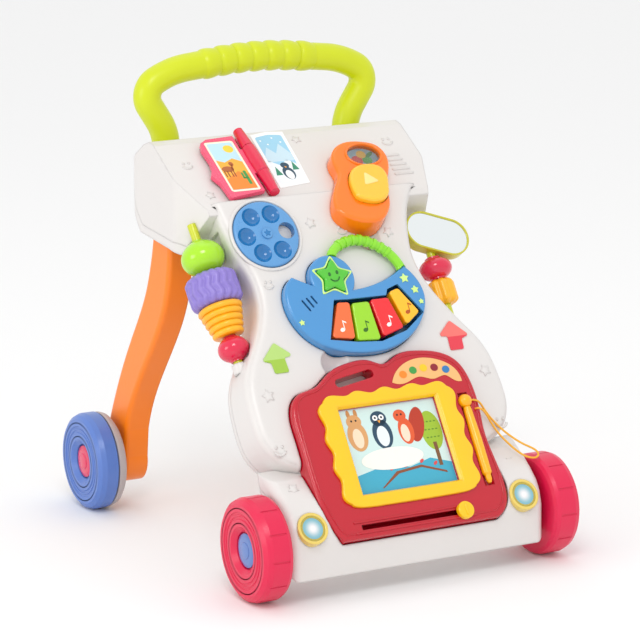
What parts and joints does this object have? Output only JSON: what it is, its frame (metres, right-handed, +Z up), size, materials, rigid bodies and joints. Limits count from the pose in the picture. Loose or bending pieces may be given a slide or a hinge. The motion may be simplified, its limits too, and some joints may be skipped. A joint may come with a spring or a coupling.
{
  "type": "baby walker",
  "caption": "Push-along baby walker: waisted activity panel on a wheeled foot, shelf with a book, push handle, rear legs, piano, drawing board, beads and mirror.",
  "frame": {"origin": "on the floor under the middle of the walker, midway between the two axles", "axes": "+Z up, the front of the walker with the activity panel faces -Y, +X is to the right of somebody who looks at the front"},
  "size_m": [0.352, 0.456, 0.4823],
  "materials": {
    "white_shell": "satin injection moulded",
    "lime_handle": "satin blow moulded",
    "orange_leg": "satin blow moulded",
    "axle_steel": "drawn wire",
    "wheel_pink": "satin moulded",
    "wheel_blue": "satin moulded",
    "ring_grey": "soft matt",
    "cap_blue": "gloss",
    "cap_pink": "gloss",
    "bezel_gold": "gloss",
    "lens_pale": "gloss",
    "badge_print": "two-tone inserts",
    "dial_blue": "satin",
    "pin_white": "satin",
    "toy_orange": "gloss",
    "toy_lens": "clear moulded plastic",
    "toy_print": "printed card",
    "button_yellow": "gloss",
    "spine_red": "gloss",
    "leaf_pink": "satin",
    "page_print": "printed label",
    "rod_lime": "satin",
    "bead_green": "gloss",
    "bead_purple": "satin",
    "bead_yellow": "satin",
    "bead_pink": "gloss",
    "mirror_lime": "satin",
    "mirror_face": "silvered plastic sheet",
    "piano_blue": "gloss",
    "piano_back_blue": "satin",
    "piano_handle_green": "gloss",
    "circuit_green": "laminate",
    "speaker_black": "matt",
    "pad_grey": "silicone",
    "cell_steel": "nickel plated",
    "key_orange": "gloss",
    "key_green": "gloss",
    "key_red": "gloss",
    "key_yellow": "gloss",
    "star_green": "translucent gloss",
    "board_crimson": "gloss",
    "frame_yellow": "gloss",
    "palette_peach": "printed label",
    "screen_print": "drawing sheet with a print",
    "slider_yellow": "gloss",
    "pen_orange": "gloss",
    "cord_yellow": "braided string"
  },
  "bodies": {
    "chassis": {"front_shell": "white_shell", "rear_cover": "white_shell", "handle": "lime_handle", "leg_right": "orange_leg", "leg_left": "orange_leg", "front_axle": "axle_steel", "rear_axles": "axle_steel", "body_screws": "axle_steel", "headlight_bezels": "bezel_gold", "headlight_lenses": "lens_pale", "arrow_badges": "badge_print", "dial_spindle": "pin_white", "toy_housing": "toy_orange", "toy_window": "toy_lens", "toy_picture": "toy_print", "book_spine_ends": "spine_red", "book_pin": "axle_steel", "book_page_card": "page_print", "bead_rods": "rod_lime"},
    "front_wheel_right": {"front_wheel_right": "wheel_pink", "front_cap_right": "cap_blue"},
    "rear_wheel_right": {"rear_wheel_right": "wheel_blue", "rear_ring_right": "ring_grey", "rear_cap_right": "cap_pink"},
    "front_wheel_left": {"front_wheel_left": "wheel_pink", "front_cap_left": "cap_blue"},
    "rear_wheel_left": {"rear_wheel_left": "wheel_blue", "rear_ring_left": "ring_grey", "rear_cap_left": "cap_pink"},
    "dial": {"dial_disc": "dial_blue"},
    "toy_button": {"toy_button": "button_yellow"},
    "book_leaf": {"book_leaf": "leaf_pink", "book_leaf_card": "page_print"},
    "bead_green": {"bead_green": "bead_green"},
    "bead_purple": {"bead_purple": "bead_purple"},
    "bead_cone": {"bead_cone": "bead_yellow"},
    "bead_pink": {"bead_pink": "bead_pink"},
    "ring_pink": {"ring_pink": "bead_pink"},
    "ring_yellow": {"ring_yellow": "bead_yellow"},
    "mirror": {"mirror_frame": "mirror_lime", "mirror_glass": "mirror_face"},
    "piano": {"piano_body": "piano_blue", "piano_back": "piano_back_blue", "piano_handle": "piano_handle_green", "piano_circuit": "circuit_green", "piano_speaker": "speaker_black", "piano_pads": "pad_grey", "piano_cells": "cell_steel"},
    "key_orange": {"key_orange": "key_orange"},
    "key_green": {"key_green": "key_green"},
    "key_red": {"key_red": "key_red"},
    "key_yellow": {"key_yellow": "key_yellow"},
    "star_button": {"star_button": "star_green"},
    "board": {"board_body": "board_crimson", "board_frame": "frame_yellow", "board_palette": "palette_peach", "board_screen": "screen_print", "pen_cord": "cord_yellow"},
    "eraser": {"eraser_slider": "slider_yellow"},
    "stylus": {"stylus": "pen_orange"}
  },
  "joints": [
    {"name": "front_wheel_right_spin", "type": "hinge", "parent": "chassis", "child": "front_wheel_right", "pos_m": [0, -0.178, 0.05], "axis": [1, 0, 0], "continuous": true},
    {"name": "rear_wheel_right_spin", "type": "hinge", "parent": "chassis", "child": "rear_wheel_right", "pos_m": [0, 0.178, 0.05], "axis": [1, 0, 0], "continuous": true},
    {"name": "front_wheel_left_spin", "type": "hinge", "parent": "chassis", "child": "front_wheel_left", "pos_m": [0, -0.178, 0.05], "axis": [1, 0, 0], "continuous": true},
    {"name": "rear_wheel_left_spin", "type": "hinge", "parent": "chassis", "child": "rear_wheel_left", "pos_m": [0, 0.178, 0.05], "axis": [1, 0, 0], "continuous": true},
    {"name": "dial_spin", "type": "hinge", "parent": "chassis", "child": "dial", "pos_m": [-0.0715, -0.0356, 0.31595], "axis": [0, -0.829, 0.5592], "continuous": true},
    {"name": "toy_button_press", "type": "slide", "parent": "chassis", "child": "toy_button", "axis": [0, 0.6252, -0.7804], "range_m": [0, 0.003], "stiffness_N_per_m": 500, "springref_m": -0.001},
    {"name": "book_leaf_turn", "type": "hinge", "parent": "chassis", "child": "book_leaf", "pos_m": [-0.0484, 0.02443, 0.37463], "axis": [0, 0.848, 0.5299], "range_deg": [0, 165]},
    {"name": "bead_green_spin", "type": "hinge", "parent": "chassis", "child": "bead_green", "pos_m": [-0.1283, -0.04061, 0.26023], "axis": [-0.0523, 0.5584, 0.8279], "continuous": true},
    {"name": "bead_purple_spin", "type": "hinge", "parent": "chassis", "child": "bead_purple", "pos_m": [-0.1283, -0.04061, 0.26023], "axis": [-0.0523, 0.5584, 0.8279], "continuous": true},
    {"name": "bead_cone_spin", "type": "hinge", "parent": "chassis", "child": "bead_cone", "pos_m": [-0.1283, -0.04061, 0.26023], "axis": [-0.0523, 0.5584, 0.8279], "continuous": true},
    {"name": "bead_pink_spin", "type": "hinge", "parent": "chassis", "child": "bead_pink", "pos_m": [-0.1283, -0.04061, 0.26023], "axis": [-0.0523, 0.5584, 0.8279], "continuous": true},
    {"name": "ring_pink_spin", "type": "hinge", "parent": "chassis", "child": "ring_pink", "pos_m": [0.119, -0.04061, 0.26023], "axis": [0, 0.5592, 0.829], "continuous": true},
    {"name": "ring_yellow_spin", "type": "hinge", "parent": "chassis", "child": "ring_yellow", "pos_m": [0.119, -0.04061, 0.26023], "axis": [0, 0.5592, 0.829], "continuous": true},
    {"name": "mirror_swivel", "type": "hinge", "parent": "chassis", "child": "mirror", "pos_m": [0.119, -0.01964, 0.29132], "axis": [0, 0.5592, 0.829], "range_deg": [-25, 25]},
    {"name": "piano_lift_off", "type": "slide", "parent": "chassis", "child": "piano", "axis": [0, -0.829, 0.5592], "range_m": [0, 0.05]},
    {"name": "key_orange_press", "type": "hinge", "parent": "piano", "child": "key_orange", "pos_m": [-0.0155, -0.08394, 0.24965], "axis": [0.961, -0.1546, -0.2292], "range_deg": [0, 4.2], "stiffness_Nm_per_rad": 0.6, "springref_deg": -1.72},
    {"name": "key_green_press", "type": "hinge", "parent": "piano", "child": "key_green", "pos_m": [0.0025, -0.08505, 0.24799], "axis": [0.999, -0.0248, -0.0367], "range_deg": [0, 4.2], "stiffness_Nm_per_rad": 0.6, "springref_deg": -1.72},
    {"name": "key_red_press", "type": "hinge", "parent": "piano", "child": "key_red", "pos_m": [0.024, -0.08421, 0.24923], "axis": [0.9885, 0.0845, 0.1252], "range_deg": [0, 4.2], "stiffness_Nm_per_rad": 0.6, "springref_deg": -1.72},
    {"name": "key_yellow_press", "type": "hinge", "parent": "piano", "child": "key_yellow", "pos_m": [0.0425, -0.0803, 0.25504], "axis": [0.9295, 0.2063, 0.3058], "range_deg": [0, 4.2], "stiffness_Nm_per_rad": 0.6, "springref_deg": -1.72},
    {"name": "star_button_press", "type": "slide", "parent": "piano", "child": "star_button", "axis": [0, 0.829, -0.5592], "range_m": [0, 0.0025], "stiffness_N_per_m": 500, "springref_m": -0.001},
    {"name": "board_lift_off", "type": "slide", "parent": "chassis", "child": "board", "axis": [0, -0.829, 0.5592], "range_m": [0, 0.05]},
    {"name": "eraser_slide", "type": "slide", "parent": "board", "child": "eraser", "axis": [-1, 0, 0], "range_m": [0, 0.105]},
    {"name": "stylus_lift_off", "type": "slide", "parent": "board", "child": "stylus", "axis": [0, -0.829, 0.5592], "range_m": [0, 0.02]}
  ]
}
